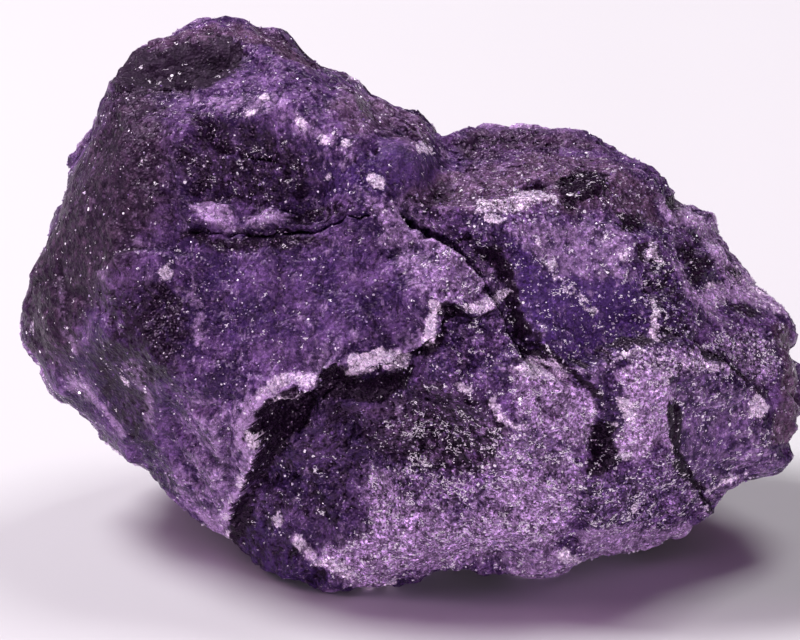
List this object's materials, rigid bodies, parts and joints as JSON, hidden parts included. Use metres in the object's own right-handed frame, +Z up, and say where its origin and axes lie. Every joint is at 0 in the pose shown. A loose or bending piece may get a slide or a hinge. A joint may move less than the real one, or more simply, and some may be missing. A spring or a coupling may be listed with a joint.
{
  "type": "rough tanzanite",
  "caption": "Rough natural lump of violet tanzanite with flat fracture faces, ledges, pits and cracks, lying on a small flat spot.",
  "frame": {"origin": "centre of the bounding box in plan, on the surface that the stone lies on", "axes": "+X along the stone's length, to the right as seen from its display side, which faces -Y; +Z up"},
  "size_m": [0.039, 0.0238, 0.0253],
  "materials": {
    "tanzanite": "rough broken crystal, deep violet with lilac and near-black zones, white crusts along the broken edges, sparkling grains"
  },
  "bodies": {
    "root": {"rough_tanzanite": "tanzanite"}
  },
  "joints": []
}
